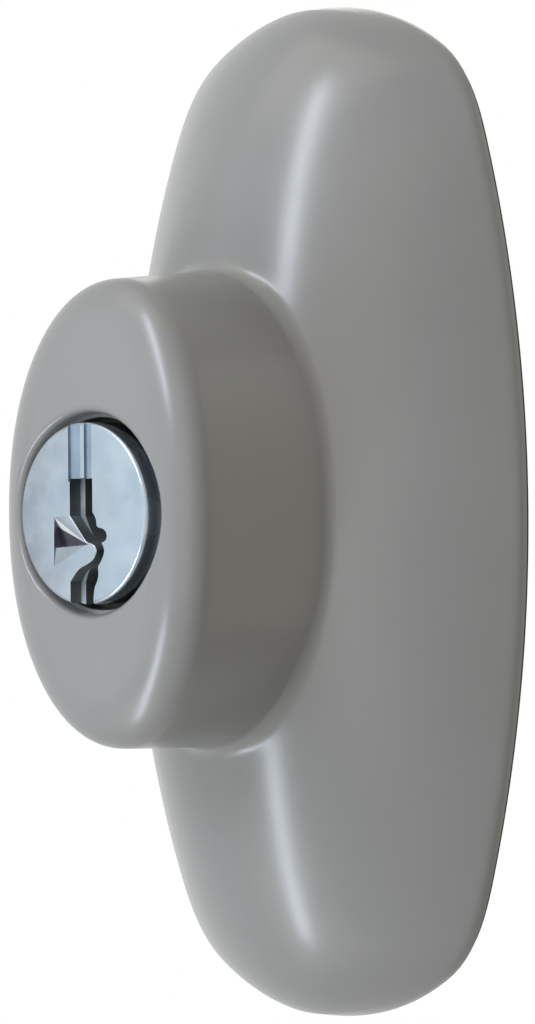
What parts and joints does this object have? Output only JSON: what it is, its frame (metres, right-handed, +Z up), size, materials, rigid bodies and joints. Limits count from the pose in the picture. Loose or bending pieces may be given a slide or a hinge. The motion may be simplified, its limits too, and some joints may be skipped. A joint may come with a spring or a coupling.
{
  "type": "keyed patio door lock",
  "caption": "Outside lock for a sliding patio door: domed escutcheon with an oval boss, pin tumbler key plug, tailpiece and tapped rear posts.",
  "frame": {"origin": "on the key plug's axis, in the plane of the door's outside face, which is the gasket's rear face", "axes": "+X to the right as seen from outside, +Y into the door along the plug's axis, +Z up along the escutcheon"},
  "size_m": [0.0386, 0.0436, 0.076],
  "materials": {
    "stone_paint": "satin stone-grey paint on die-cast zinc",
    "plug_nickel": "satin nickel plate on brass",
    "cylinder_brass": "turned brass, dull",
    "pin_brass": "turned brass",
    "spring_wire": "bright spring wire",
    "zinc_plate": "clear zinc plate on steel",
    "screw_steel": "zinc-plated steel, slightly dark",
    "rubber_seal": "matte black closed-cell rubber"
  },
  "bodies": {
    "root": {"escutcheon": "stone_paint", "gasket": "rubber_seal", "cylinder_shell": "cylinder_brass", "chamber_cap": "cylinder_brass", "clamp_plate": "zinc_plate", "clamp_screw_upper": "screw_steel", "clamp_screw_lower": "screw_steel", "driver_spring_1": "spring_wire", "driver_spring_2": "spring_wire", "driver_spring_3": "spring_wire", "driver_spring_4": "spring_wire", "driver_spring_5": "spring_wire"},
    "plug": {"key_plug": "plug_nickel", "plug_clip": "screw_steel", "tailpiece": "zinc_plate", "tail_retainer": "zinc_plate", "tail_screw_left": "screw_steel", "tail_screw_right": "screw_steel"},
    "key_pin_1": {"key_pin_1": "pin_brass"},
    "key_pin_2": {"key_pin_2": "pin_brass"},
    "key_pin_3": {"key_pin_3": "pin_brass"},
    "key_pin_4": {"key_pin_4": "pin_brass"},
    "key_pin_5": {"key_pin_5": "pin_brass"},
    "driver_pin_1": {"driver_pin_1": "pin_brass"},
    "driver_pin_2": {"driver_pin_2": "pin_brass"},
    "driver_pin_3": {"driver_pin_3": "pin_brass"},
    "driver_pin_4": {"driver_pin_4": "pin_brass"},
    "driver_pin_5": {"driver_pin_5": "pin_brass"}
  },
  "joints": [
    {"name": "plug_turn", "type": "hinge", "parent": "root", "child": "plug", "pos_m": [0, -0.0145, 0], "axis": [0, 1, 0], "range_deg": [-90, 90]},
    {"name": "key_pin_1_lift", "type": "slide", "parent": "plug", "child": "key_pin_1", "axis": [0, 0, 1], "range_m": [0, 0.00148]},
    {"name": "key_pin_2_lift", "type": "slide", "parent": "plug", "child": "key_pin_2", "axis": [0, 0, 1], "range_m": [0, 0.00243]},
    {"name": "key_pin_3_lift", "type": "slide", "parent": "plug", "child": "key_pin_3", "axis": [0, 0, 1], "range_m": [0, 0.00108]},
    {"name": "key_pin_4_lift", "type": "slide", "parent": "plug", "child": "key_pin_4", "axis": [0, 0, 1], "range_m": [0, 0.00202]},
    {"name": "key_pin_5_lift", "type": "slide", "parent": "plug", "child": "key_pin_5", "axis": [0, 0, 1], "range_m": [0, 0.000945]},
    {"name": "driver_pin_1_lift", "type": "slide", "parent": "root", "child": "driver_pin_1", "axis": [0, 0, 1], "range_m": [0, 0.0012], "stiffness_N_per_m": 150, "springref_m": -0.004, "deforming": ["driver_spring_1"]},
    {"name": "driver_pin_2_lift", "type": "slide", "parent": "root", "child": "driver_pin_2", "axis": [0, 0, 1], "range_m": [0, 0.0012], "stiffness_N_per_m": 150, "springref_m": -0.004, "deforming": ["driver_spring_2"]},
    {"name": "driver_pin_3_lift", "type": "slide", "parent": "root", "child": "driver_pin_3", "axis": [0, 0, 1], "range_m": [0, 0.0012], "stiffness_N_per_m": 150, "springref_m": -0.004, "deforming": ["driver_spring_3"]},
    {"name": "driver_pin_4_lift", "type": "slide", "parent": "root", "child": "driver_pin_4", "axis": [0, 0, 1], "range_m": [0, 0.0012], "stiffness_N_per_m": 150, "springref_m": -0.004, "deforming": ["driver_spring_4"]},
    {"name": "driver_pin_5_lift", "type": "slide", "parent": "root", "child": "driver_pin_5", "axis": [0, 0, 1], "range_m": [0, 0.0012], "stiffness_N_per_m": 150, "springref_m": -0.004, "deforming": ["driver_spring_5"]}
  ]
}
